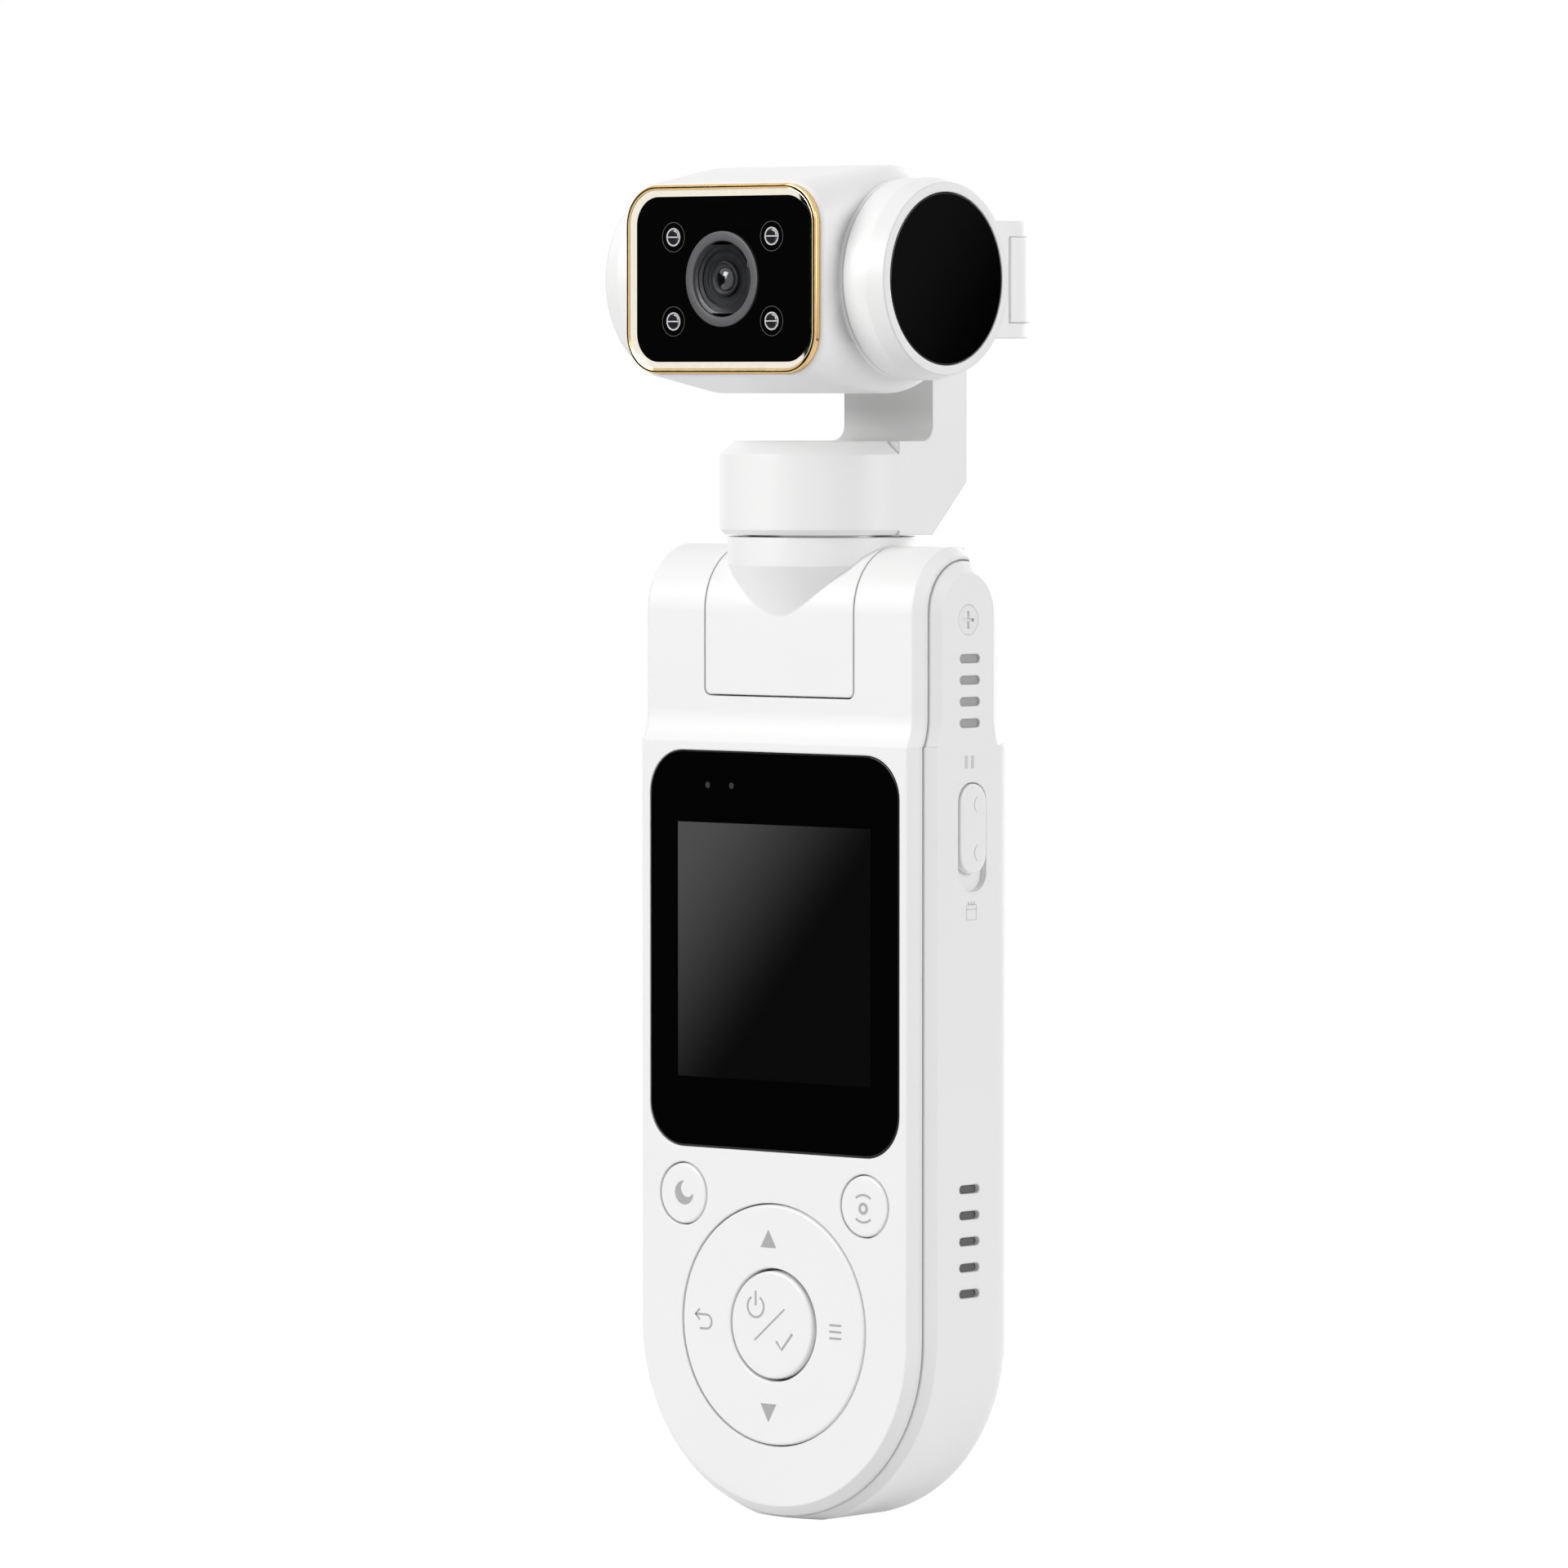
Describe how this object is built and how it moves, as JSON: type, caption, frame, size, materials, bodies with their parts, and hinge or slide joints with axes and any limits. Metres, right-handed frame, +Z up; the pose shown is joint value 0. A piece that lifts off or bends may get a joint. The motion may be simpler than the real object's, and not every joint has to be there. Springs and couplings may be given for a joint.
{
  "type": "body camera",
  "caption": "Slim handheld body camera with a stabilised lens head on a folding neck, a display, direction and function keys, a side slide switch and a tripod socket.",
  "frame": {"origin": "centre of the tripod socket's mouth, at the flat foot of the handle", "axes": "+X towards the side with the slide switch, +Y towards the back of the handle, +Z up the handle towards the lens head"},
  "size_m": [0.0383, 0.0281, 0.1236],
  "materials": {
    "shell_white": "satin",
    "key_white": "satin",
    "trim_gold": "polished",
    "black_gloss": "gloss",
    "black_matte": "matt",
    "display_glass": "gloss",
    "lens_glass": "gloss",
    "board_green": "satin",
    "steel": "satin",
    "bronze": "satin",
    "magnet_dark": "satin",
    "copper_core": "satin",
    "cell_foil": "satin",
    "silicone": "matt",
    "lamp_resin": "gloss"
  },
  "bodies": {
    "handle": {"front_cover": "shell_white", "rear_shell": "shell_white", "display_glass": "display_glass", "display_panel": "black_matte", "main_board": "board_green", "processor_shield": "steel", "battery": "cell_foil", "key_switches": "steel", "usb_port": "steel", "card_socket": "steel", "speaker": "black_matte", "microphone": "steel", "slide_switch": "steel", "case_screws": "steel", "hinge_pins": "steel", "hinge_screws": "steel", "tripod_insert": "bronze"},
    "neck": {"hinge_block": "shell_white", "hinge_bushes": "bronze", "pan_base": "steel", "pan_core": "copper_core", "pan_bearings": "bronze"},
    "pan_arm": {"pan_bracket": "shell_white", "yoke_strip": "shell_white", "pan_bell": "steel", "pan_magnets": "magnet_dark", "tilt_base": "steel", "tilt_core": "copper_core", "tilt_bearings": "bronze", "motor_disc": "black_gloss"},
    "head": {"head_shell": "shell_white", "head_back": "shell_white", "left_cap": "shell_white", "face_trim": "trim_gold", "face_glass": "black_gloss", "lens_bezel": "steel", "lens_barrel": "black_matte", "lens_elements": "lens_glass", "sensor_board": "board_green", "gyro_board": "board_green", "lamp_board": "board_green", "infrared_lamps": "lamp_resin", "tilt_bell": "steel", "tilt_magnets": "magnet_dark"},
    "pad_frame": {"pad_mat": "silicone"},
    "pad": {"direction_pad": "key_white"},
    "ok_key": {"ok_button": "key_white"},
    "night_key": {"night_button": "key_white"},
    "track_key": {"track_button": "key_white"},
    "side_switch": {"slide_knob": "key_white", "switch_lever": "black_matte"}
  },
  "joints": [
    {"name": "fold", "type": "hinge", "parent": "handle", "child": "neck", "pos_m": [0, 0, 0.0825], "axis": [-1, 0, 0], "range_deg": [0, 90]},
    {"name": "pan", "type": "hinge", "parent": "neck", "child": "pan_arm", "pos_m": [0, 0, 0.0901], "axis": [0, 0, 1], "range_deg": [-160, 160]},
    {"name": "tilt", "type": "hinge", "parent": "pan_arm", "child": "head", "pos_m": [0.00385, -0.00672, 0.1133], "axis": [1, 0, 0], "range_deg": [-90, 45]},
    {"name": "pad_rock_x", "type": "hinge", "parent": "handle", "child": "pad_frame", "pos_m": [0, -0.0046, 0.0178], "axis": [1, 0, 0], "range_deg": [-1, 1], "stiffness_Nm_per_rad": 0.4},
    {"name": "pad_rock_z", "type": "hinge", "parent": "pad_frame", "child": "pad", "pos_m": [0, -0.0046, 0.0178], "axis": [0, 0, 1], "range_deg": [-1, 1], "stiffness_Nm_per_rad": 0.4},
    {"name": "ok_press", "type": "slide", "parent": "handle", "child": "ok_key", "axis": [0, 1, 0], "range_m": [0, 0.0003], "stiffness_N_per_m": 4000},
    {"name": "night_press", "type": "slide", "parent": "handle", "child": "night_key", "axis": [0, 1, 0], "range_m": [0, 0.0003], "stiffness_N_per_m": 4000},
    {"name": "track_press", "type": "slide", "parent": "handle", "child": "track_key", "axis": [0, 1, 0], "range_m": [0, 0.0003], "stiffness_N_per_m": 4000},
    {"name": "switch_slide", "type": "slide", "parent": "handle", "child": "side_switch", "axis": [0, 0, -1], "range_m": [0, 0.0015]}
  ]
}
